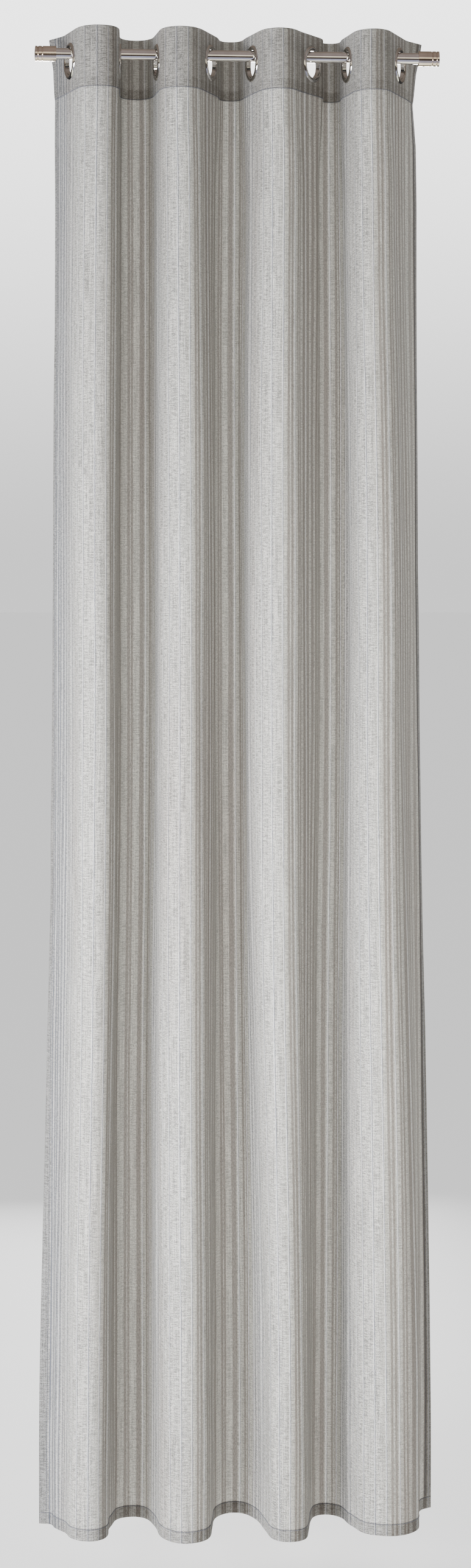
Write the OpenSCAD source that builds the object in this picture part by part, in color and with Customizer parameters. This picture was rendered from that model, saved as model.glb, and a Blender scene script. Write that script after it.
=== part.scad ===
// An eyelet curtain gathered on a metal rod with two turned finials.
// Origin on the rod's axis at mid-length; X along the rod, -Y towards the room, Z up. Millimetres.

/* [Rod] */
// Outside diameter of the rod
rod_d = 19; // [16:0.5:24]
// Wall thickness of the rod, which is a tube
rod_wall = 0.9; // [0.6:0.1:2]
// Length of rod that shows between the two finials
rod_shown = 594; // [588:1:900]
// Length of rod inside each finial
rod_socket = 25; // [15:1:28]

/* [Finials] */
// Length of a finial
finial_l = 35; // [32:1:60]
// Diameter of a finial
finial_d = 25; // [24:0.5:40]
// Width of each turned groove
groove_w = 2; // [1:0.25:3]
// Depth of each turned groove
groove_depth = 1; // [0.4:0.1:1.5]
// Rise of the domed end
finial_dome = 1; // [0.5:0.25:4]
// Diameter of the grub screw that locks a finial on the rod
grub_d = 4; // [3:0.5:5]

/* [Curtain] */
// Width of the cloth, laid flat
cloth_w = 1400; // [1300:5:1500]
// Length of the curtain from its top edge to its hem
cloth_l = 2450; // [1600:10:2700]
// Thickness of one layer of cloth
cloth_t = 1; // [0.6:0.1:1.4]
// Depth of the doubled heading, down to its stitch line
heading_l = 98; // [90:1:130]
// Depth of the bottom hem
hem_l = 20; // [10:1:60]
// Width of each side hem
side_hem_w = 15; // [8:1:28]
// Thickness of the stiff tape inside the heading
tape_t = 0.8; // [0.4:0.1:1.2]

/* [Eyelets] */
// Outside diameter of an eyelet
eyelet_d = 60; // [56:1:62]
// Diameter of the hole through an eyelet
eyelet_hole_d = 44; // [38:1:46]
// Height of an eyelet's rounded rim over the cloth
eyelet_crown = 2.6; // [1.5:0.1:3.5]
// Thickness of the eyelets' pressed metal
eyelet_wall = 0.8; // [0.5:0.1:1]
// Height of the cloth above the middle of the eyelets
eyelet_below_top = 48; // [45:1:60]

/* [Drape] */
// Where the eyelets stand along the rod
eyelet_x = [-273.5, -195, -132, -45.5, 24, 121, 180.5, 265.5]; // each between the finials, 58 to 100 apart
// Angle between the rod and the cloth at each eyelet
eyelet_turn = [76, 87, 84.5, 67.5, 76, 56, 81, 66]; // each from 55 to 88 degrees
// Angle between the rod and the cloth's left and right edges, level with the eyelets
edge_turn = [76, 66]; // each from 50 to 88 degrees
// Where the cloth crosses below the rod at the hem
hem_x = [-285, -211, -132.5, -41.5, 41, 115, 187.5, 299]; // each within 35 of the eyelet above it
// Angle between the rod and the cloth at the hem
hem_turn = [71, 81, 82, 85, 80, 80, 73, 87]; // each from 60 to 88 degrees
// Angle between the rod and the cloth's left and right edges at the hem
hem_edge_turn = [57, 69]; // each from 50 to 88 degrees
// Distance below the rod at which the folds start to spread
spread_from = 613; // [100:1:1200]

/* [Hidden] */
eyelets = len(eyelet_x);

sliding_gap = 0.05;
cloth_gap = 0.1;
cut_gap = 0.3;
overrun = 1;
$fn = 96;

// ---- Rod and finials ----

rod_r = rod_d / 2;
finial_r = finial_d / 2;
groove_places = [5.5, 12.5];
collar_w = 1.2;
collar_rise = 0.3;
grub_inset = 9;
grub_length = 2.6;
grub_socket_d = 2.3;
grub_socket_depth = 1.3;
rod_clearance = 0.7;
grub_clearance = 0.2;

module along_x(x) translate([x, 0, 0]) rotate([0, 90, 0]) children();

module rod_tube() {
    length = rod_shown + 2 * rod_socket;
    color([0.72, 0.70, 0.66])
        difference() {
            along_x(-length / 2) cylinder(r = rod_r, h = length);
            along_x(-length / 2 - overrun) cylinder(r = rod_r - rod_wall, h = length + 2 * overrun);
        }
}

// Axis along +Z, open mouth at z = 0, domed end up.
module finial_shape() {
    dome_r = (finial_r * finial_r + finial_dome * finial_dome) / (2 * finial_dome);
    difference() {
        union() {
            intersection() {
                cylinder(r = finial_r, h = finial_l);
                translate([0, 0, finial_l - dome_r]) sphere(r = dome_r, $fn = 128);
            }
            cylinder(r = finial_r + collar_rise, h = collar_w);
        }
        translate([0, 0, -overrun])
            cylinder(r = rod_r + sliding_gap, h = rod_socket + cloth_gap + overrun);
        for (place = groove_places)
            translate([0, 0, finial_l - place])
                rotate_extrude()
                    translate([finial_r, 0]) circle(r = groove_depth, $fn = 32);
        translate([0, 0, grub_inset]) rotate([0, 90, 0])
            cylinder(d = grub_d, h = finial_d);
    }
}

// The screw's outer face lies just under the finial's skin.
module grub_screw_shape() {
    from = rod_r + grub_clearance;
    translate([0, 0, grub_inset]) rotate([0, 90, 0])
        difference() {
            translate([0, 0, from]) cylinder(r = grub_d / 2 - sliding_gap, h = grub_length);
            translate([0, 0, from + grub_length - grub_socket_depth])
                cylinder(d = grub_socket_d, h = grub_socket_depth + overrun, $fn = 6);
        }
}

// The screws point straight down, where they are out of sight.
module at_left_end() translate([-rod_shown / 2, 0, 0]) rotate([0, -90, 0]) rotate([0, 0, 180]) children();
module at_right_end() translate([rod_shown / 2, 0, 0]) rotate([0, 90, 0]) children();

module finial_left() color([0.62, 0.58, 0.54]) at_left_end() finial_shape();
module finial_right() color([0.62, 0.58, 0.54]) at_right_end() finial_shape();
module grub_screw_left() color([0.25, 0.25, 0.26]) at_left_end() grub_screw_shape();
module grub_screw_right() color([0.25, 0.25, 0.26]) at_right_end() grub_screw_shape();

// ---- The line that the cloth takes, seen from above ----

// Between two eyelets the cloth runs straight past each ring and bends round in one free fold.
pitch = cloth_w / eyelets;
ring_flat = eyelet_d / 2 + 1;
free_l = pitch - 2 * ring_flat;
fold_steps = 16;
fold_u = [for (i = [0 : fold_steps - 1]) (i + 0.5) / fold_steps];
radians = PI / 180;

function unit(angle) = [cos(angle), sin(angle)];
function mean(v) = v * [for (x = v) 1] / len(v);
function mean_product(v, w) = v * w / len(v);

// Headings of the fold's short steps: an even bend, rounded out by bulge and tipped over by lean.
function headings(out, back, bulge, lean) =
    [for (u = fold_u) out * (1 - u) - back * u + bulge * sin(360 * u) + lean * sin(180 * u)];

// Newton's method for the bulge and lean that end the fold at the next ring.
function fitted_fold(out, back, reach, bulge = 20, lean = 0, rounds = 10) =
    let (
        h = headings(out, back, bulge, lean),
        c = [for (a = h) cos(a)],
        s = [for (a = h) sin(a)],
        twice = [for (u = fold_u) sin(360 * u)],
        once = [for (u = fold_u) sin(180 * u)],
        miss = (reach / free_l - [mean(c), mean(s)]) / radians,
        xb = -mean_product(s, twice),
        xl = -mean_product(s, once),
        yb = mean_product(c, twice),
        yl = mean_product(c, once),
        det = xb * yl - xl * yb
    )
    rounds == 0 ? h :
    fitted_fold(out, back, reach,
        bulge + (miss.x * yl - miss.y * xl) / det,
        lean + (miss.y * xb - miss.x * yb) / det,
        rounds - 1);

// Steps of the cloth as [length, heading], from its left edge to its right edge.
function fold_side(k) = k % 2 == 0 ? -1 : 1;
function fold_run(x, turn, k) =
    let (
        ends = ring_flat * (unit(turn[k]) - [-cos(turn[k + 1]), sin(turn[k + 1])]),
        reach = [x[k + 1] - x[k], 0] - [ends.x, ends.y]
    )
    [for (h = fitted_fold(turn[k], turn[k + 1], reach)) [free_l / fold_steps, fold_side(k) * h]];
function cloth_steps(x, turn, edge) =
    let (stub = pitch / 2 - ring_flat - side_hem_w)
    concat(
        [[side_hem_w, -edge[0]], [stub, -edge[0]], [2 * ring_flat, -turn[0]]],
        [for (k = [0 : eyelets - 2]) each concat(
            fold_run(x, turn, k),
            [[2 * ring_flat, fold_side(k + 1) * turn[k + 1]]]
        )],
        [[stub, edge[1]], [side_hem_w, edge[1]]]
    );

function walked(from, steps, i = 0) =
    i == len(steps) ? [from] :
    concat([from], walked(from + steps[i][0] * unit(steps[i][1]), steps, i + 1));

// Each point of the line with the side of the cloth that faces the room: [point, normal].
function cloth_line(x, turn, edge) =
    let (
        steps = cloth_steps(x, turn, edge),
        start = [x[0], 0] - ring_flat * unit(-turn[0]) - (pitch / 2 - ring_flat) * unit(-edge[0]),
        points = walked(start, steps),
        last = len(steps) - 1
    )
    [for (i = [0 : last + 1])
        let (heading = (steps[max(i - 1, 0)][1] + steps[min(i, last)][1]) / 2)
        [points[i], unit(heading - 90)]];

function mix(a, b, share) = a * (1 - share) + b * share;
function line_at(share) = cloth_line(
    mix(eyelet_x, hem_x, share),
    mix(eyelet_turn, hem_turn, share),
    mix(edge_turn, hem_edge_turn, share));
heading_line = line_at(0);

// The cloth is one length. It is cut for the model in the middle of each free fold.
per_fold = fold_steps + 1;
first_cut = 3 + fold_steps / 2;
last_point = len(heading_line) - 1;
function from_point(k) = k == 1 ? 0 : first_cut + (k - 2) * per_fold;
function to_point(k) = k == eyelets ? last_point : first_cut + (k - 1) * per_fold;

// Points of one stretch, drawn in by half a cut gap where a neighbour follows.
function drawn_in(a, b, gap) = [a[0] + gap / 2 * (b[0] - a[0]) / norm(b[0] - a[0]), a[1]];
function stretch(line, from, to, gap = cut_gap) =
    [for (i = [from : to])
        i == from && from > 0 ? drawn_in(line[i], line[i + 1], gap) :
        i == to && to < last_point ? drawn_in(line[i], line[i - 1], gap) :
        line[i]];
function outline(run, thickness) =
    concat(
        [for (p = run) p[0] + p[1] * thickness / 2],
        [for (i = [len(run) - 1 : -1 : 0]) run[i][0] - run[i][1] * thickness / 2]
    );

// ---- Cloth, tape and eyelets ----

eyelet_z = rod_r + rod_clearance - eyelet_hole_d / 2;
top_z = eyelet_z + eyelet_below_top;
stitch_z = top_z - heading_l;
hem_z = top_z - cloth_l;
hem_top_z = hem_z + hem_l;
stitch_band = 5;
fold_over = 2;
heading_t = 2 * cloth_t + tape_t + 2 * cloth_gap;
drop_t = cloth_t;
hem_t = 3 * cloth_t;
barrel_r = eyelet_hole_d / 2 + eyelet_wall;
tape_hole_r = barrel_r + 0.4;

function turned(k) = (k % 2 == 0 ? 1 : -1) * eyelet_turn[k - 1];

// Axis of the eyelet along +Z, which points into the room from the cloth's face.
module at_eyelet(k)
    translate([eyelet_x[k - 1], 0, eyelet_z]) rotate([0, 0, turned(k)]) rotate([90, 0, 0]) children();

module eyelet_opening(k, radius)
    at_eyelet(k) translate([0, 0, -heading_t]) cylinder(r = radius, h = 2 * heading_t);

// Levels of the hanging cloth as [height, share of the spread, thickness].
spread_rows = 6;
function spread(share) = share * share * (3 - 2 * share);
cloth_levels = concat(
    [[stitch_z - cut_gap, 0, drop_t], [-spread_from, 0, drop_t]],
    [for (i = [1 : spread_rows - 1])
        let (share = i / spread_rows)
        [mix(-spread_from, hem_top_z, share), spread(share), drop_t]],
    [[hem_top_z + 1, 1, drop_t], [hem_top_z, 1, hem_t], [hem_z, 1, hem_t]]
);
level_lines = [for (level = cloth_levels) line_at(level[1])];

// A strip that follows the line of each level, as one closed skin.
module hanging_strip(from, to) {
    count = 2 * (to - from + 1);
    rows = len(cloth_levels);
    points = [for (r = [0 : rows - 1])
        for (p = outline(stretch(level_lines[r], from, to), cloth_levels[r][2]))
            [p.x, p.y, cloth_levels[r][0]]];
    walls = [for (r = [0 : rows - 2]) for (i = [0 : count - 1])
        let (
            j = (i + 1) % count,
            a = r * count + i,
            b = r * count + j,
            c = a + count,
            d = b + count
        )
        each [[a, b, c], [b, d, c]]];
    lids = [for (i = [0 : count / 2 - 2])
        let (near = i, far = count - 1 - i, bottom = (rows - 1) * count)
        each [
            [near, far, near + 1], [near + 1, far, far - 1],
            [bottom + near, bottom + near + 1, bottom + far],
            [bottom + near + 1, bottom + far - 1, bottom + far]
        ]];
    polyhedron(points = points, faces = concat(walls, lids));
}

// The doubled heading of one stretch of the cloth, with a pocket for the tape.
module cloth_heading(k) {
    from = from_point(k);
    to = to_point(k);
    pocket_from = max(from, 1);
    pocket_to = min(to, last_point - 1);
    color([0.68, 0.67, 0.65])
        difference() {
            translate([0, 0, stitch_z])
                linear_extrude(heading_l)
                    polygon(outline(stretch(heading_line, from, to), heading_t));
            translate([0, 0, stitch_z + stitch_band])
                linear_extrude(heading_l - stitch_band - fold_over)
                    polygon(outline([for (i = [pocket_from : pocket_to]) heading_line[i]],
                        tape_t + 2 * cloth_gap));
            eyelet_opening(k, tape_hole_r);
        }
}

// The long drop of one stretch, as strips that are nearly flat: it is cut again at both ends of the
// straight run and halfway round each bend.
function strip_ends(k) =
    let (
        from = from_point(k),
        to = to_point(k),
        bend = fold_steps / 2,
        before = k == 1 ? [from] : [from, from + bend / 2, from + bend],
        after = k == eyelets ? [to] : [to - bend, to - bend / 2, to]
    )
    concat(before, after);
module cloth_drop(k) {
    ends = strip_ends(k);
    color([0.76, 0.74, 0.71])
        for (i = [0 : len(ends) - 2])
            hanging_strip(ends[i], ends[i + 1]);
}

// The stiff strip inside the heading, which keeps the rings upright.
module heading_tape(k) {
    from = max(from_point(k), 1);
    to = min(to_point(k), last_point - 1);
    run = stretch(heading_line, from, to);
    color([0.93, 0.93, 0.90])
        difference() {
            translate([0, 0, stitch_z + stitch_band + cloth_gap])
                linear_extrude(heading_l - stitch_band - fold_over - 2 * cloth_gap)
                    polygon(outline(run, tape_t));
            eyelet_opening(k, tape_hole_r);
        }
}

// Section of a hollow rounded rim from one radius to another, standing on the cloth.
module rim_section(inner, outer) {
    half = (outer - inner) / 2;
    round_r = (half * half + eyelet_crown * eyelet_crown) / (2 * eyelet_crown);
    translate([inner + half, heading_t / 2 + cloth_gap])
        intersection() {
            translate([0, eyelet_crown - round_r])
                difference() {
                    circle(r = round_r);
                    circle(r = round_r - eyelet_wall);
                }
            translate([-half, 0]) square([2 * half, eyelet_crown + overrun]);
        }
}

// Front half: the rounded rim and the barrel that passes through the cloth.
module eyelet_front(k) {
    inner = eyelet_hole_d / 2;
    barrel_end = heading_t / 2 + cloth_gap + eyelet_crown;
    color([0.80, 0.79, 0.76])
        at_eyelet(k)
            rotate_extrude() {
                rim_section(inner, eyelet_d / 2);
                translate([inner, -barrel_end])
                    square([eyelet_wall, 2 * barrel_end - eyelet_crown + eyelet_wall]);
            }
}

// Back half: a ring that snaps over the barrel and holds the cloth against the front half.
module eyelet_back(k)
    color([0.74, 0.73, 0.70])
        at_eyelet(k)
            mirror([0, 0, 1])
                rotate_extrude() rim_section(barrel_r + cloth_gap, eyelet_d / 2);

rod_tube();
finial_left();
finial_right();
grub_screw_left();
grub_screw_right();
for (k = [1 : eyelets]) {
    cloth_heading(k);
    cloth_drop(k);
    heading_tape(k);
    eyelet_front(k);
    eyelet_back(k);
}
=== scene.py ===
"""An eyelet curtain on a metal rod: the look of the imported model. Metres, in the model's own frame."""

import math

import bpy
import numpy as np
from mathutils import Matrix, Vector


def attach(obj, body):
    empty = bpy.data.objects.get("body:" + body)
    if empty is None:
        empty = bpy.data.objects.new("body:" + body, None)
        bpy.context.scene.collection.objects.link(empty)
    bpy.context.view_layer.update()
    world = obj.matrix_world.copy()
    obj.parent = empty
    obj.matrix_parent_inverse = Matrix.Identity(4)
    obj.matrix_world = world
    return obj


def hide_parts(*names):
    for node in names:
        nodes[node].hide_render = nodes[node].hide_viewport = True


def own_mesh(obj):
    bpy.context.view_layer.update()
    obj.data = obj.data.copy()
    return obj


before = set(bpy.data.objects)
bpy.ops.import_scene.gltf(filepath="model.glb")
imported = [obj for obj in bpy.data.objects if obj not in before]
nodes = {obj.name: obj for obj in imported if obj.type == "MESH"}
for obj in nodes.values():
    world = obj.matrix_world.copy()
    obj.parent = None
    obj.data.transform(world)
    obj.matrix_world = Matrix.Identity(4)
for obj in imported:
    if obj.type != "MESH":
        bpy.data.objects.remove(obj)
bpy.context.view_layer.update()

# ---- Sizes, as in the part ----

CLOTH_W = 1.400
CLOTH_L = 2.450
EYELETS = 8
PITCH = CLOTH_W / EYELETS
EYELET_V = 0.048
HEADING_L = 0.098
HEM_L = 0.020
SIDE_HEM = 0.015
TOP_Z = 0.0362
HEM_TOP_V = CLOTH_L - HEM_L
RING_FLAT = 0.031
HOLE_R = 0.025
TURN_UNDER = 0.0165
FOLD_SOFT = 0.0006

# Where the cloth crosses below the rod, and its angle to the rod there, at three heights.
KEY_Z = (-0.062, -1.0, -2.40)
CROSS_X = (
    (-0.2735, -0.195, -0.132, -0.0455, 0.024, 0.121, 0.1805, 0.2655),
    (-0.276, -0.196, -0.1315, -0.044, 0.021, 0.121, 0.187, 0.276),
    (-0.285, -0.211, -0.1325, -0.0415, 0.041, 0.115, 0.1875, 0.299),
)
CROSS_TURN = (
    (76, 87, 84.5, 67.5, 76, 56, 81, 66),
    (76, 86, 85, 72, 80, 62, 82, 72),
    (71, 81, 82, 85, 80, 80, 73, 87),
)


def smooth(t):
    t = np.clip(t, 0, 1)
    return t * t * (3 - 2 * t)


# ---- Camera ----

camera_data = bpy.data.cameras.new("camera")
camera_data.lens = 70.15
camera_data.sensor_width = 36
camera_data.shift_y = -0.125
camera_data.clip_end = 200
camera = bpy.data.objects.new("camera", camera_data)
camera.location = (-0.41, -4.983, -0.87)
camera.rotation_euler = (math.radians(90), 0, math.radians(-4.656))
bpy.context.scene.collection.objects.link(camera)
bpy.context.scene.camera = camera


# ---- The cloth's line, seen from above ----

def fold_bends(x, turn, flat, samples=48, rounds=14):
    """Newton's method for the bulge and lean that take each fold to the next eyelet.

    x and turn hold the crossings' places and angles, and flat the straight run at each; one row a height.
    """
    free = (PITCH - 2 * flat)[:, None]
    out, back = turn[:, :-1], turn[:, 1:]
    reach_x = x[:, 1:] - x[:, :-1] - flat[:, None] * (np.cos(out) + np.cos(back))
    reach_y = flat[:, None] * (np.sin(back) - np.sin(out))
    u = (np.arange(samples) + 0.5) / samples
    twice, once = np.sin(2 * np.pi * u), np.sin(np.pi * u)
    bulge, lean = np.full(out.shape, 0.3), np.zeros(out.shape)
    for _ in range(rounds):
        h = (out[..., None] * (1 - u) - back[..., None] * u
             + bulge[..., None] * twice + lean[..., None] * once)
        c, s = np.cos(h), np.sin(h)
        miss_x = reach_x / free - c.mean(-1)
        miss_y = reach_y / free - s.mean(-1)
        xb, xl = -(s * twice).mean(-1), -(s * once).mean(-1)
        yb, yl = (c * twice).mean(-1), (c * once).mean(-1)
        det = xb * yl - xl * yb
        bulge = bulge + (miss_x * yl - miss_y * xl) / det
        lean = lean + (miss_y * xb - miss_x * yb) / det
    return bulge, lean


# Angle between the rod and the cloth's two edges, by the depth below the top edge.
EDGE_V = (0, 0.05, 0.098, 0.17, 0.27, 0.47, 0.87, 1.27, 1.65, 2.0, 2.45)
LEFT_TURN = (60, 70, 73, 72.5, 74, 76, 73.5, 67, 68, 78, 86)
RIGHT_TURN = (49, 63, 69.5, 62.5, 61, 62, 66, 63, 61, 64, 65)
# Near the hem the last CURL_L of each edge curls to these angles instead.
LEFT_CURL, RIGHT_CURL = 12, 30
CURL_L = 0.033


def crossings(z):
    """Places and angles of the eight crossings, and the half length of the straight run there."""
    a = smooth((z - KEY_Z[0]) / (KEY_Z[1] - KEY_Z[0]))[:, None]
    b = smooth((z - KEY_Z[1]) / (KEY_Z[2] - KEY_Z[1]))[:, None]
    x = (np.array(CROSS_X[0]) * (1 - a) + np.array(CROSS_X[1]) * a) * (1 - b) + np.array(CROSS_X[2]) * b
    t = (np.array(CROSS_TURN[0]) * (1 - a) + np.array(CROSS_TURN[1]) * a) * (1 - b) \
        + np.array(CROSS_TURN[2]) * b
    below = smooth((-z - 0.09) / 0.5)[:, None]
    k = np.arange(EYELETS)[None, :]
    x = x + below * 0.0016 * np.sin(2.9 * z[:, None] + 1.7 * k + 0.8 * np.sin(1.3 * z[:, None] * (k % 3 + 1)))
    flat = RING_FLAT + (0.010 - RING_FLAT) * smooth((KEY_Z[0] - z) / 0.16)
    return x, np.radians(t), flat


# Steps across the cloth in which its line is summed up.
FINE = 1400


def cloth_line(s, z):
    """X, Y and heading of the cloth's middle at each distance s from its left edge, one row a height."""
    x, turn, flat = crossings(z)
    bulge, lean = fold_bends(x, turn, flat)
    fine = np.linspace(0, CLOTH_W, FINE + 1)
    mid = (fine[1:] + fine[:-1]) / 2
    k = np.clip(((mid - PITCH / 2) // PITCH).astype(int), 0, EYELETS - 2)
    side = np.where(k % 2 == 0, -1, 1)
    u = np.clip((mid - PITCH / 2 - k * PITCH - flat[:, None]) / (PITCH - 2 * flat[:, None]), 0, 1)
    out, back = turn[:, k], turn[:, k + 1]
    h = side * (out * (1 - u) - back * u + bulge[:, k] * np.sin(2 * np.pi * u)
                + lean[:, k] * np.sin(np.pi * u))
    stub = PITCH / 2 - RING_FLAT
    v = TOP_Z - z
    curl = smooth((v - 1.35) / 1.1)[:, None]
    for turns, last, inset, sign in ((LEFT_TURN, LEFT_CURL, mid, -1),
                                     (RIGHT_TURN, RIGHT_CURL, CLOTH_W - mid, 1)):
        edge_turn = np.radians(np.interp(v, EDGE_V, turns))[:, None]
        near = smooth((stub - inset) / 0.022)
        h = h * (1 - near) + sign * edge_turn * near
        rolled = curl * smooth((CURL_L - inset) / 0.024)
        h = h * (1 - rolled) + sign * math.radians(last) * rolled
    step = CLOTH_W / FINE
    zero = np.zeros((len(z), 1))
    px = np.concatenate([zero, np.cumsum(np.cos(h) * step, 1)], 1)
    py = np.concatenate([zero, np.cumsum(np.sin(h) * step, 1)], 1)
    first = int(round(PITCH / 2 / step))
    here = (px[:, first - 1:first + 1].mean(1) + px[:, first:first + 2].mean(1)) / 2
    px += (x[:, 0] - here)[:, None]
    py -= ((py[:, first - 1:first + 1].mean(1) + py[:, first:first + 2].mean(1)) / 2)[:, None]
    at = np.clip(s / step, 0, FINE)
    low = np.minimum(at.astype(int), FINE - 1)
    part = at - low
    heading = np.stack([np.interp(s, mid, row) for row in h])
    return (px[:, low] * (1 - part) + px[:, low + 1] * part,
            py[:, low] * (1 - part) + py[:, low + 1] * part, heading)


def ripple(s, z):
    """Small uneven swells of the hanging cloth, below the heading."""
    fade = smooth((-z - 0.10) / 0.35)
    return fade * (
        0.0011 * np.sin(37 * s + 2.3 * z + 0.4) * np.sin(1.9 * z + 5 * s)
        + 0.0008 * np.sin(71 * s - 3.1 * z + 1.1) * np.sin(4.3 * z + 2.0)
        + 0.0005 * np.sin(113 * s + 7.7 * z)
        + 0.0004 * np.sin(19 * z + 23 * s) * smooth((-z - 1.9) / 0.4))


# How far the hem hangs short at each half fold, from the left edge on.
HEM_RISE = (0, 0.012, 0.007, 0.002, 0.010, 0.002, 0.002, 0.004, 0.009)


def hem_rise(s, z):
    """How much higher than a straight hem the cloth hangs, all of it in the lower half."""
    at = np.clip(s / PITCH, 0, EYELETS)
    low = np.minimum(at.astype(int), EYELETS - 1)
    rise = np.array(HEM_RISE)
    return (rise[low] + (rise[low + 1] - rise[low]) * smooth(at - low)) * smooth((-z - 1.2) / 1.2)


def surface(s, z):
    """Points on the cloth's middle and the way its face looks, one row a height."""
    px, py, heading = cloth_line(s, z)
    normal = np.stack([np.sin(heading), -np.cos(heading), np.zeros_like(heading)], -1)
    point = np.stack([px, py, z[:, None] + hem_rise(s[None, :], z[:, None])], -1)
    return point + normal * ripple(s[None, :], z[:, None])[..., None], normal


def lift(s, v):
    """How far the cloth's face and back stand off its middle: in the heading, the hems and elsewhere."""
    single, heading_half, hem_back = 0.00035, 0.00145, 0.0012
    round_top = np.sqrt(np.clip(1 - (1 - np.clip(v / 0.0022, 0, 1)) ** 2, 0.02, 1))
    in_heading = 1 - smooth((v - (HEADING_L + 0.0008)) / 0.0016)
    pinch = np.exp(-((v - HEADING_L) / 0.0024) ** 2)
    doubled = heading_half * round_top * (1 - 0.45 * pinch)
    face = single * (1 - in_heading) + doubled * in_heading
    side = 1 - smooth((np.minimum(s, CLOTH_W - s) - (SIDE_HEM - 0.0006)) / 0.0012)
    hem = smooth((v - (HEM_TOP_V - 0.0006)) / 0.0012)
    thick = np.maximum(side, hem)
    back = (single + (hem_back - single) * thick) * (1 - in_heading) + doubled * in_heading
    edge = np.minimum(np.minimum(s, CLOTH_W - s), CLOTH_L - v)
    rounded = 0.45 + 0.55 * smooth(edge / 0.0012)
    return face * rounded, back * rounded


# ---- The cloth ----

def columns():
    """Distances from the left edge at which the mesh has a column, closer at the side hems."""
    edge = [0, 0.0012, 0.005, 0.010, 0.0144, 0.0156]
    inner = list(np.linspace(0.021, CLOTH_W - 0.021, 195))
    return np.array(edge + inner + [CLOTH_W - e for e in reversed(edge)])


def rows():
    """Depths below the top edge at which the mesh has a row, closer at the edges and stitch lines."""
    top = [0, 0.0005, 0.0012, 0.0024]
    heading = list(np.linspace(0.007, 0.0935, 19))
    stitched = [0.0958, 0.098, 0.0996, 0.1012, 0.1055]
    drop = list(np.linspace(0.1120, 2.4200, 168))
    hem = [2.4274, 2.4294, 2.4306, 2.4350, 2.4420, 2.4488, 2.4500]
    return np.array(top + heading + stitched + drop + hem)


def mesh_object(name, points, faces):
    mesh = bpy.data.meshes.new(name)
    mesh.from_pydata(np.asarray(points, float).reshape(-1, 3).tolist(), [], faces)
    mesh.validate()
    for polygon in mesh.polygons:
        polygon.use_smooth = True
    obj = bpy.data.objects.new(name, mesh)
    bpy.context.scene.collection.objects.link(obj)
    return obj


def make_cloth():
    """The whole panel as one closed sheet, with its holes drawn round by the nearest grid points."""
    s, v = columns(), rows()
    grid_s, grid_v = np.meshgrid(s, v)
    grid_s, grid_v = grid_s.copy(), grid_v.copy()
    n_rows, n_cols = grid_s.shape
    centre_s = (grid_s[:-1, :-1] + grid_s[1:, 1:]) / 2
    centre_v = (grid_v[:-1, :-1] + grid_v[1:, 1:]) / 2
    ring_s = PITCH / 2 + PITCH * np.round((centre_s - PITCH / 2) / PITCH)
    keep = np.hypot(centre_s - ring_s, centre_v - EYELET_V) > HOLE_R - 0.0005
    used = np.zeros((n_rows, n_cols), int)
    for dr in (0, 1):
        for dc in (0, 1):
            used[dr:n_rows - 1 + dr, dc:n_cols - 1 + dc] += keep
    near_s = PITCH / 2 + PITCH * np.round((grid_s - PITCH / 2) / PITCH)
    out_s, out_v = grid_s - near_s, grid_v - EYELET_V
    far = np.hypot(out_s, out_v)
    snap = (used > 0) & (used < 4) & (far < 0.034)
    grid_s[snap] = (near_s + out_s / far * HOLE_R)[snap]
    grid_v[snap] = (EYELET_V + out_v / far * HOLE_R)[snap]

    point, normal = surface(s, TOP_Z - v)
    for r, c in zip(*np.nonzero(snap)):
        p, n = surface(grid_s[r, c:c + 1], np.array([TOP_Z - grid_v[r, c]]))
        point[r, c], normal[r, c] = p[0, 0], n[0, 0]
    face, back = lift(grid_s, grid_v)
    front = point + normal * face[..., None]
    rear = point - normal * back[..., None]

    index = -np.ones((n_rows, n_cols), int)
    index[used > 0] = np.arange((used > 0).sum())
    count = int((used > 0).sum())
    faces = []
    rim = {}
    for r in range(n_rows - 1):
        for c in range(n_cols - 1):
            if not keep[r, c]:
                continue
            a, b, d, e = index[r, c], index[r, c + 1], index[r + 1, c + 1], index[r + 1, c]
            faces.append((a, e, d, b))
            faces.append((a + count, b + count, d + count, e + count))
            for i, j in ((a, e), (e, d), (d, b), (b, a)):
                if (j, i) in rim:
                    del rim[(j, i)]
                else:
                    rim[(i, j)] = True
    for i, j in rim:
        faces.append((j, i, i + count, j + count))
    shown = used > 0
    points = np.concatenate([front[shown], rear[shown]])
    cloth = mesh_object("curtain_cloth", points, faces)
    flat = np.stack([grid_s[shown], CLOTH_L - grid_v[shown]], -1)
    flat = np.concatenate([flat, flat])
    layer = cloth.data.uv_layers.new(name="flat")
    corner = np.zeros(len(cloth.data.loops), int)
    cloth.data.loops.foreach_get("vertex_index", corner)
    layer.data.foreach_set("uv", flat[corner].astype(np.float32).ravel())
    return cloth


# ---- Stitches ----

HEM_STITCH_IN = 0.0015
SIDE_STITCH_IN = 0.0018
STITCH_PITCH = 0.0030
STITCH_LENGTH = 0.0023
THREAD_R = 0.00042
ALONG = np.array([0.0, 0.3, 0.7, 1.0])
RISE = np.array([-0.6, 0.8, 0.8, -0.6])


def stitch_rows(point, normal, tangent, stand):
    """Short threads from (stitch, 4, 3) points: each dips into the cloth at both its ends."""
    across = np.cross(normal, tangent)
    base = point + normal * (stand + THREAD_R * RISE[None, :])[..., None]
    width = THREAD_R * np.array([0.7, 1.15, 1.15, 0.7])[None, :, None]
    ring = [base + width * (normal * a + across * b) for a, b in ((1, 0), (0, 1), (-1, 0), (0, -1))]
    points = np.stack(ring, 2).reshape(-1, 3)
    faces = []
    for k in range(len(point)):
        o = 16 * k
        for r in range(3):
            for i in range(4):
                j = (i + 1) % 4
                faces.append((o + 4 * r + i, o + 4 * r + j, o + 4 * r + 4 + j, o + 4 * r + 4 + i))
        faces += [(o + 3, o + 2, o + 1, o), (o + 12, o + 13, o + 14, o + 15)]
    return points, faces


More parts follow.
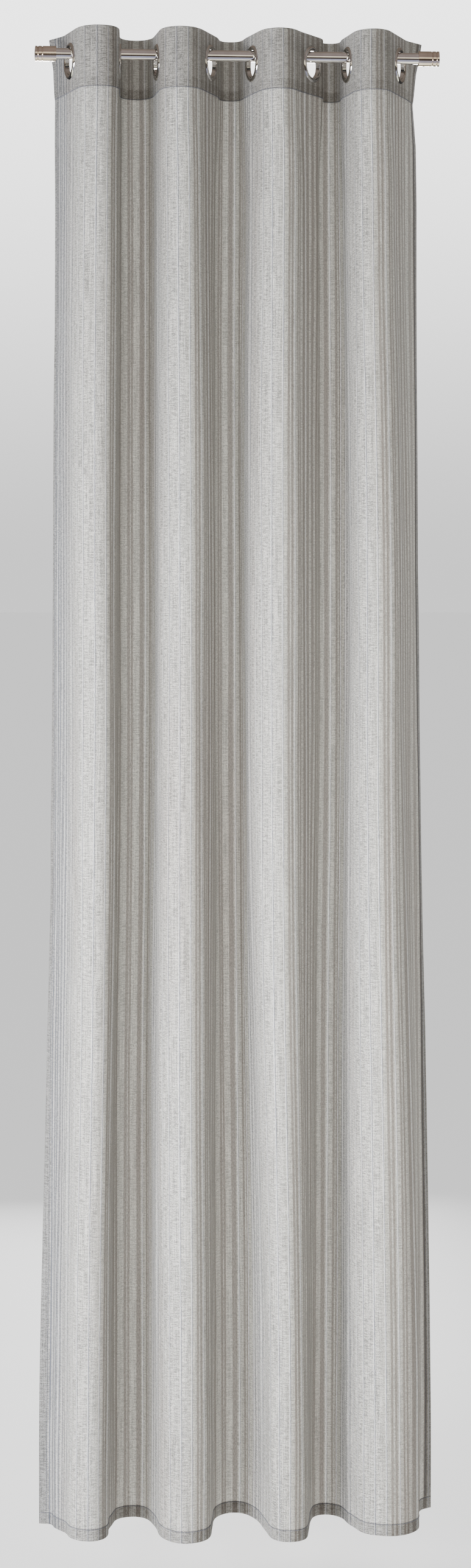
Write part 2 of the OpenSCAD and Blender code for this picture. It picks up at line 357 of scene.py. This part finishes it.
def both_sides(name, point, normal, tangent, face, back):
    """The same stitches on the cloth's face and on its back, as one piece."""
    p, f = stitch_rows(point, normal, tangent, face)
    q, g = stitch_rows(point, -normal, tangent, back)
    return mesh_object(name, np.concatenate([p, q]), f + [tuple(i + len(p) for i in t) for t in g])


def stitches_across(name, v):
    """A row of stitches from side to side, v below the top edge."""
    count = int((CLOTH_W - 0.006) / STITCH_PITCH)
    starts = 0.003 + STITCH_PITCH * np.arange(count)
    s = (starts[:, None] + STITCH_LENGTH * ALONG).ravel()
    p, n = surface(s, np.array([TOP_Z - v]))
    point, normal = p[0].reshape(count, 4, 3), n[0].reshape(count, 4, 3)
    tangent = np.cross(np.array([0, 0, 1.0]), -normal)
    face, back = lift(s, np.full(s.shape, v))
    return both_sides(name, point, normal, tangent, face.reshape(count, 4), back.reshape(count, 4))


def stitches_down(name, s):
    """A row of stitches from the heading to the hem, s from the left edge."""
    first, last = HEADING_L + 0.006, HEM_TOP_V - 0.003
    count = int((last - first) / STITCH_PITCH)
    starts = first + STITCH_PITCH * np.arange(count)
    v = (starts[:, None] + STITCH_LENGTH * ALONG).ravel()
    p, n = surface(np.array([s]), TOP_Z - v)
    point, normal = p[:, 0].reshape(count, 4, 3), n[:, 0].reshape(count, 4, 3)
    tangent = np.broadcast_to(np.array([0, 0, -1.0]), point.shape)
    face, back = lift(np.full(v.shape, s), v)
    return both_sides(name, point, normal, tangent, face.reshape(count, 4), back.reshape(count, 4))


cloth = make_cloth()
stitches = [
    stitches_across("heading_stitches", HEADING_L),
    stitches_across("hem_stitches", HEM_TOP_V + HEM_STITCH_IN),
    stitches_down("side_stitches_left", SIDE_HEM - SIDE_STITCH_IN),
    stitches_down("side_stitches_right", CLOTH_W - SIDE_HEM + SIDE_STITCH_IN),
]


# ---- Materials ----

class Graph:
    """A material's nodes, built from short sums."""

    def __init__(self, name):
        self.material = bpy.data.materials.new(name)
        self.material.use_nodes = True
        self.tree = self.material.node_tree
        self.tree.nodes.clear()
        self.shader = self.tree.nodes.new("ShaderNodeBsdfPrincipled")
        self.output = self.tree.nodes.new("ShaderNodeOutputMaterial")
        self.tree.links.new(self.shader.outputs[0], self.output.inputs[0])

    def set(self, socket, value):
        if isinstance(value, bpy.types.NodeSocket):
            self.tree.links.new(value, socket)
        else:
            socket.default_value = value

    def node(self, kind, **settings):
        node = self.tree.nodes.new(kind)
        for key, value in settings.items():
            setattr(node, key, value)
        return node

    def math(self, operation, *values, clamp=False):
        node = self.node("ShaderNodeMath", operation=operation, use_clamp=clamp)
        for socket, value in zip(node.inputs, values):
            self.set(socket, value)
        return node.outputs[0]

    def ramp(self, value, low, high, start=0.0, end=1.0):
        node = self.node("ShaderNodeMapRange", interpolation_type="SMOOTHSTEP")
        for socket, number in zip(node.inputs, (value, low, high, start, end)):
            self.set(socket, number)
        return node.outputs[0]

    def band(self, value, centre, width, soft):
        """1 inside a band, 0 outside."""
        off = self.math("ABSOLUTE", self.math("SUBTRACT", value, centre))
        return self.ramp(off, width / 2 - soft, width / 2 + soft, 1.0, 0.0)

    def stripes(self, phase, places):
        """1 inside each stripe of the repeat, 0 between them."""
        node = self.node("ShaderNodeValToRGB")
        self.set(node.inputs[0], phase)
        stops = node.color_ramp.elements
        node.color_ramp.interpolation = "CONSTANT"
        stops[0].color = (0, 0, 0, 1)
        stops.remove(stops[1])
        for start, end in places:
            for place, tone in ((start, 1), (end, 0)):
                stops.new(place / REPEAT).color = (tone, tone, tone, 1)
        return node.outputs[0]

    def mix(self, share, a, b, blend="MIX"):
        node = self.node("ShaderNodeMix", data_type="RGBA", blend_type=blend)
        self.set(node.inputs[0], share)
        for socket, value in ((node.inputs[6], a), (node.inputs[7], b)):
            self.set(socket, value if isinstance(value, bpy.types.NodeSocket) else (*value, 1.0))
        return node.outputs[2]

    def noise(self, vector, scale, detail=2.0, rough=0.5):
        node = self.node("ShaderNodeTexNoise")
        self.set(node.inputs["Vector"], vector)
        for key, value in (("Scale", scale), ("Detail", detail), ("Roughness", rough)):
            node.inputs[key].default_value = value
        return node.outputs["Fac"]

    def stretch(self, vector, x, y, z=1.0):
        node = self.node("ShaderNodeMapping")
        self.set(node.inputs["Vector"], vector)
        node.inputs["Scale"].default_value = (x, y, z)
        return node.outputs[0]

    def bump(self, height, distance, strength=1.0):
        node = self.node("ShaderNodeBump")
        node.inputs["Strength"].default_value = strength
        node.inputs["Distance"].default_value = distance
        self.set(node.inputs["Height"], height)
        self.set(self.shader.inputs["Normal"], node.outputs[0])

    def finish(self, **inputs):
        for key, value in inputs.items():
            self.set(self.shader.inputs[key.replace("_", " ")], value)
        return self.material


# The woven repeat in millimetres, from the middle of one back fold to the next. Each stripe is (from, to).
REPEAT = 342
BROWN = ((0, 4.5), (15, 24), (35, 39), (42, 48), (200, 203.5), (206, 210.5), (221, 225), (227.5, 232),
         (240, 250), (258, 268), (276, 285), (293, 302), (310, 319), (335.5, 342))


def lines(*places):
    """(from, to) of each thin line, from its place and its width."""
    return tuple((place, place + width) for place, width in places)


WHITE_LINES = lines((26, 1.5), (45, 1.6), (60, 1.6), (74, 1.6), (95, 1.8), (100, 1.2), (115, 1.5), (133, 1.0),
                    (150, 1.3), (171.5, 1.4), (190, 1.3), (213, 1.0), (234, 1.0), (253, 1.0), (11, 1.0))
BLUE_LINES = lines((20, 2.2), (30, 2.4), (38, 2.2), (50, 2.6), (56.5, 1.8), (66, 2.6), (80, 2.6), (88, 1.8),
                   (104, 2.4), (116.6, 1.4), (151.4, 1.2), (173, 1.3), (191.4, 1.6))


def cloth_material():
    """Slub weave in woven stripes, which lets some light through."""
    g = Graph("striped_cloth")
    uv = g.node("ShaderNodeUVMap", uv_map="flat").outputs[0]
    split = g.node("ShaderNodeSeparateXYZ")
    g.set(split.inputs[0], uv)
    across, up = split.outputs[0], split.outputs[1]
    wander = g.math("ADD", g.noise(g.stretch(uv, 60, 3), 1.0, 2.0),
                    g.math("MULTIPLY", g.noise(g.stretch(uv, 300, 160), 1.0, 2.0), 0.9))
    s = g.math("ADD", g.math("MULTIPLY", across, 1000.0), g.math("MULTIPLY", wander, 1.8))
    phase = g.math("DIVIDE", g.math("MODULO", s, REPEAT), REPEAT)

    # Silver ground over the front of each repeat and the left selvedge, cream and brown over the rest.
    silver = g.math("MULTIPLY", g.ramp(phase, 50 / REPEAT, 70 / REPEAT),
                    g.ramp(phase, 176 / REPEAT, 202 / REPEAT, 1.0, 0.0))
    silver = g.math("MAXIMUM", silver, g.ramp(across, 0.055, 0.075, 1.0, 0.0))
    warp = g.noise(g.stretch(uv, 900, 5), 1.0, 3.0, 0.6)
    slub = g.noise(g.stretch(uv, 80, 560), 1.0, 3.0, 0.7)
    yarn = g.noise(g.stretch(uv, 560, 11), 1.0, 3.0, 0.7)
    grain = g.noise(g.stretch(uv, 620, 480), 1.0, 1.0)
    weave = g.math("ADD", g.math("ADD", g.math("MULTIPLY", slub, 0.42), g.math("MULTIPLY", yarn, 0.32)),
                   g.math("MULTIPLY", grain, 0.26))
    weave = g.ramp(weave, 0.40, 0.60)
    speck = g.noise(g.stretch(uv, 800, 230), 1.0, 2.0, 0.6)
    broad = g.noise(g.stretch(uv, 18, 1.3), 1.0, 2.0)
    silver_ground = g.mix(weave, (0.215, 0.214, 0.207), (0.79, 0.78, 0.75))
    cream_ground = g.mix(weave, (0.255, 0.25, 0.224), (0.62, 0.61, 0.558))
    ground = g.mix(silver, cream_ground, silver_ground)
    # Painted shade: the ground darkens towards the left edge, over the first fold's left flank that turns
    # from the light. The same mask also strengthens the blue-grey lines there.
    left_flank_shade_and_lines = g.ramp(across, 0.060, 0.085, 1.0, 0.0)
    ground = g.mix(g.math("MULTIPLY", left_flank_shade_and_lines, 0.85), ground, (0.70, 0.71, 0.74), "MULTIPLY")

    brown = g.math("MULTIPLY", g.stripes(phase, BROWN), g.ramp(warp, 0.30, 0.60, 0.7, 1.0))
    brown = g.math("MULTIPLY", brown, g.math("SUBTRACT", 1.0, silver))
    brown_colour = g.mix(g.ramp(speck, 0.3, 0.7), (0.155, 0.137, 0.117), (0.33, 0.302, 0.268))
    colour = g.mix(brown, ground, brown_colour)

    # Thin blue-grey lines, then white ones, each with a painted blue-grey shadow line beside it.
    dark = g.math("MULTIPLY", g.stripes(phase, BLUE_LINES), g.ramp(warp, 0.35, 0.6, 0.6, 0.9))
    dark = g.math("MULTIPLY", dark, g.ramp(silver, 0.05, 0.4))
    dark = g.math("MULTIPLY", dark, g.math("ADD", 1.0, g.math("MULTIPLY", left_flank_shade_and_lines, 0.6)), clamp=True)
    colour = g.mix(dark, colour, (0.15, 0.162, 0.20))
    # Painted shadow: a blue-grey line just beside each white line.
    line_shadow = g.stripes(g.math("SUBTRACT", phase, 1.0 / REPEAT), WHITE_LINES)
    colour = g.mix(g.math("MULTIPLY", line_shadow, 0.6), colour, (0.20, 0.21, 0.255))
    white = g.math("MULTIPLY", g.stripes(phase, WHITE_LINES), g.ramp(speck, 0.3, 0.6, 0.5, 0.95))
    colour = g.mix(white, colour, (0.86, 0.86, 0.86))

    # Short dark-brown flecks along the warp.
    fleck = g.ramp(g.noise(g.stretch(uv, 900, 90), 1.0, 1.0), 0.68, 0.74)
    fleck = g.math("MULTIPLY", fleck, g.math("SUBTRACT", 0.85, g.math("MULTIPLY", silver, 0.7)))
    colour = g.mix(fleck, colour, (0.12, 0.095, 0.08))
    colour = g.mix(g.ramp(broad, 0.45, 0.75, 0.0, 0.25), colour, (0.66, 0.55, 0.50), "MULTIPLY")

    # The doubled heading, its turned edge and the hems let less light through. The heading's face is also
    # darkened as painted shade, and the stitch lines get a painted shadow in their grooves.
    v = g.math("SUBTRACT", CLOTH_L, up)
    heading = g.ramp(v, HEADING_L - FOLD_SOFT, HEADING_L + FOLD_SOFT, 1.0, 0.0)
    under = g.ramp(v, HEADING_L - TURN_UNDER, HEADING_L - TURN_UNDER + 0.001, 0.0, 0.58)
    under = g.math("MULTIPLY", heading, under)
    hem = g.ramp(v, HEM_TOP_V - FOLD_SOFT, HEM_TOP_V + FOLD_SOFT)
    inset = g.math("MINIMUM", across, g.math("SUBTRACT", CLOTH_W, across))
    side = g.ramp(inset, SIDE_HEM - FOLD_SOFT, SIDE_HEM + FOLD_SOFT, 1.0, 0.0)
    # Painted shadow: a dark line along the heading and hem stitch lines, where the grooves fall in shade.
    groove_shadow = g.math("MAXIMUM", g.band(v, HEADING_L, 0.0018, 0.0005),
                    g.band(v, HEM_TOP_V + HEM_STITCH_IN, 0.0014, 0.0004))
    # Painted shade: the heading's face is darkened for the light that the doubled cloth holds back.
    colour = g.mix(g.math("MULTIPLY", heading, 0.6), colour, (0.72, 0.71, 0.70), "MULTIPLY")
    colour = g.mix(g.math("MULTIPLY", groove_shadow, 0.55), colour, (0.30, 0.31, 0.36), "MULTIPLY")
    doubled = g.math("MAXIMUM", g.math("MULTIPLY", heading, 0.33), g.math("MAXIMUM", hem, side))
    doubled = g.math("MAXIMUM", doubled, under)
    through = g.mix(0.35, colour, (0.90, 0.89, 0.87))
    through = g.mix(g.math("MULTIPLY", doubled, 0.9), through, (0.12, 0.09, 0.07), "MULTIPLY")

    threads = g.math("ADD", g.noise(g.stretch(uv, 1500, 160), 1.0, 1.0),
                     g.noise(g.stretch(uv, 160, 1500), 1.0, 1.0))
    g.bump(threads, 0.0004, 0.45)
    glow = g.node("ShaderNodeBsdfTranslucent")
    g.set(glow.inputs["Color"], through)
    blend = g.node("ShaderNodeMixShader")
    blend.inputs[0].default_value = 0.45
    g.tree.links.new(g.shader.outputs[0], blend.inputs[1])
    g.tree.links.new(glow.outputs[0], blend.inputs[2])
    g.tree.links.new(blend.outputs[0], g.output.inputs[0])
    return g.finish(Base_Color=colour, Roughness=g.ramp(weave, 0.2, 0.8, 0.82, 0.93),
                    Sheen_Weight=0.12, Sheen_Roughness=0.5, Specular_IOR_Level=0.25)


def metal_material(name, tint, dark, rough, grain, strength):
    """Polished metal with faint handling marks and a grain at the given scale."""
    g = Graph(name)
    place = g.node("ShaderNodeNewGeometry").outputs["Position"]
    marks = g.noise(place, 38.0, 4.0, 0.6)
    fine = g.noise(g.stretch(place, *grain), 1.0, 3.0, 0.6)
    colour = g.mix(g.ramp(marks, 0.3, 0.7), dark, tint)
    g.bump(fine, 0.00005, strength)
    return g.finish(Base_Color=colour, Metallic=1.0,
                    Roughness=g.ramp(marks, 0.25, 0.8, rough * 0.8, rough * 1.35))


def thread_material():
    """Twisted blue-grey sewing thread."""
    g = Graph("stitch_thread")
    place = g.node("ShaderNodeNewGeometry").outputs["Position"]
    twist = g.noise(g.stretch(place, 2600, 2600, 2600), 1.0, 2.0)
    tone = g.noise(place, 30.0, 2.0)
    colour = g.mix(g.ramp(tone, 0.3, 0.7), (0.11, 0.12, 0.16), (0.19, 0.20, 0.245))
    g.bump(twist, 0.0001, 0.6)
    return g.finish(Base_Color=colour, Roughness=g.ramp(twist, 0.2, 0.8, 0.65, 0.85),
                    Sheen_Weight=0.2)


def screw_material():
    """Black oxide, worn bright on its high spots."""
    g = Graph("black_oxide")
    place = g.node("ShaderNodeNewGeometry").outputs["Position"]
    wear = g.noise(place, 900.0, 3.0, 0.6)
    colour = g.mix(g.ramp(wear, 0.55, 0.75), (0.025, 0.025, 0.028), (0.10, 0.10, 0.105))
    g.bump(wear, 0.0001, 0.4)
    return g.finish(Base_Color=colour, Metallic=0.9, Roughness=g.ramp(wear, 0.3, 0.8, 0.35, 0.5))


def dress(obj, material):
    obj.data.materials.clear()
    obj.data.materials.append(material)


dress(cloth, cloth_material())
thread = thread_material()
for piece in stitches:
    dress(piece, thread)
rod_metal = metal_material(
    "polished_rod", (0.82, 0.79, 0.77), (0.72, 0.69, 0.67), 0.085, (30, 900, 900), 0.25)
finial_metal = metal_material(
    "turned_finial", (0.76, 0.66, 0.57), (0.64, 0.55, 0.47), 0.11, (1800, 60, 60), 0.3)
ring_metal = metal_material(
    "pressed_chrome", (0.66, 0.645, 0.625), (0.55, 0.535, 0.515), 0.07, (500, 500, 500), 0.12)
dress(nodes["rod_tube"], rod_metal)
for end in ("left", "right"):
    dress(nodes[f"finial_{end}"], finial_metal)
    dress(nodes[f"grub_screw_{end}"], screw_material())
for k in range(1, EYELETS + 1):
    dress(nodes[f"eyelet_{k}_front"], ring_metal)
    dress(nodes[f"eyelet_{k}_back"], ring_metal)

# ---- Riding the model's bodies ----

for piece in [cloth, *stitches]:
    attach(piece, "pleat_1")
    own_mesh(piece)
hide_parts(*[f"{part}_{k}" for part in ("cloth_heading", "cloth_drop", "heading_tape")
                     for k in range(1, EYELETS + 1)])

# ---- Studio ----

FLOOR_Z = -2.47


def make_floor():
    g = Graph("pale_floor")
    bpy.ops.mesh.primitive_plane_add(size=400, location=(0, 0, FLOOR_Z))
    floor = bpy.context.object
    floor.name = "floor"
    floor.visible_glossy = False
    dress(floor, g.finish(Base_Color=(0.86, 0.86, 0.86, 1.0), Roughness=0.9, Specular_IOR_Level=0.1))


def softbox(name, place, aim, width, height, power, spread):
    """A rectangular light that no camera sees, with its beam's spread in degrees."""
    light = bpy.data.lights.new(name, "AREA")
    light.shape = "RECTANGLE"
    light.size, light.size_y = width, height
    light.energy = power
    light.spread = math.radians(spread)
    obj = bpy.data.objects.new(name, light)
    obj.location = place
    obj.visible_camera = False
    obj.rotation_euler = (Vector(aim) - Vector(place)).to_track_quat("-Z", "Y").to_euler()
    bpy.context.scene.collection.objects.link(obj)


# What the metal mirrors, by the angle round the rod: 0 is the front, 90 is up.
MIRRORED = (
    (-180, (0.03, 0.03, 0.03)), (-122, (0.02, 0.02, 0.02)), (-112, (0.92, 0.92, 0.74)),
    (-74, (0.80, 0.80, 0.72)), (-66, (0.20, 0.21, 0.29)), (-40, (0.26, 0.27, 0.35)),
    (-33, (0.04, 0.035, 0.03)), (-8, (0.05, 0.04, 0.035)), (0, (0.66, 0.60, 0.46)),
    (12, (0.60, 0.55, 0.45)), (22, (0.14, 0.118, 0.115)), (60, (0.165, 0.142, 0.132)),
    (110, (0.12, 0.100, 0.085)), (165, (0.09, 0.074, 0.062)), (180, (0.05, 0.045, 0.04)),
)
MIRRORED_STRENGTH = 2.2


def make_world():
    """Light from the front left and behind, a pale backdrop, and bands that only the metal mirrors."""
    world = bpy.data.worlds.new("studio")
    bpy.context.scene.world = world
    world.use_nodes = True
    tree = world.node_tree
    tree.nodes.clear()

    def node(kind, *values, **settings):
        made = tree.nodes.new(kind)
        for key, value in settings.items():
            setattr(made, key, value)
        for socket, value in zip(made.inputs, values):
            if isinstance(value, bpy.types.NodeSocket):
                tree.links.new(value, socket)
            else:
                socket.default_value = value
        return made

    def map_range(*values):
        return node("ShaderNodeMapRange", *values, interpolation_type="SMOOTHSTEP").outputs[0]

    def arithmetic(operation, *values):
        return node("ShaderNodeMath", *values, operation=operation).outputs[0]

    direction = node("ShaderNodeTexCoord").outputs["Generated"]
    across, along, up = node("ShaderNodeSeparateXYZ", direction).outputs
    rays = node("ShaderNodeLightPath").outputs

    front = map_range(across, -0.7, 0.5, 0.66, 0.05)
    backdrop = map_range(up, 0.0, 0.22, 1.05, 3.4)
    sides = map_range(along, -0.1, 0.6, front, backdrop)
    lit = map_range(up, 0.45, 0.85, sides, 0.75)
    strength = map_range(rays["Is Camera Ray"], 0.0, 1.0, lit, backdrop)
    background = node("ShaderNodeBackground", (1, 1, 1, 1), strength).outputs[0]

    angle = arithmetic("ARCTAN2", up, arithmetic("MULTIPLY", along, -1.0))
    bands = node("ShaderNodeValToRGB", arithmetic("MULTIPLY_ADD", angle, 1 / (2 * math.pi), 0.5))
    stops = bands.color_ramp.elements
    stops.remove(stops[1])
    stops[0].color = (*MIRRORED[0][1], 1)
    for degrees, tone in MIRRORED[1:]:
        stops.new((degrees + 180) / 360).color = (*tone, 1)
    mirrored = node("ShaderNodeBackground", bands.outputs[0], MIRRORED_STRENGTH).outputs[0]

    seen = node("ShaderNodeMixShader", rays["Is Glossy Ray"], background, mirrored).outputs[0]
    node("ShaderNodeOutputWorld", seen)


make_floor()
softbox("key", (-2.35, -2.55, -1.6), (0, 0, -1.47), 1.4, 1.5, 55, 70)
softbox("behind", (0, 3.2, -1.2), (0, 0, -1.3), 1.6, 2.2, 98, 84)
make_world()
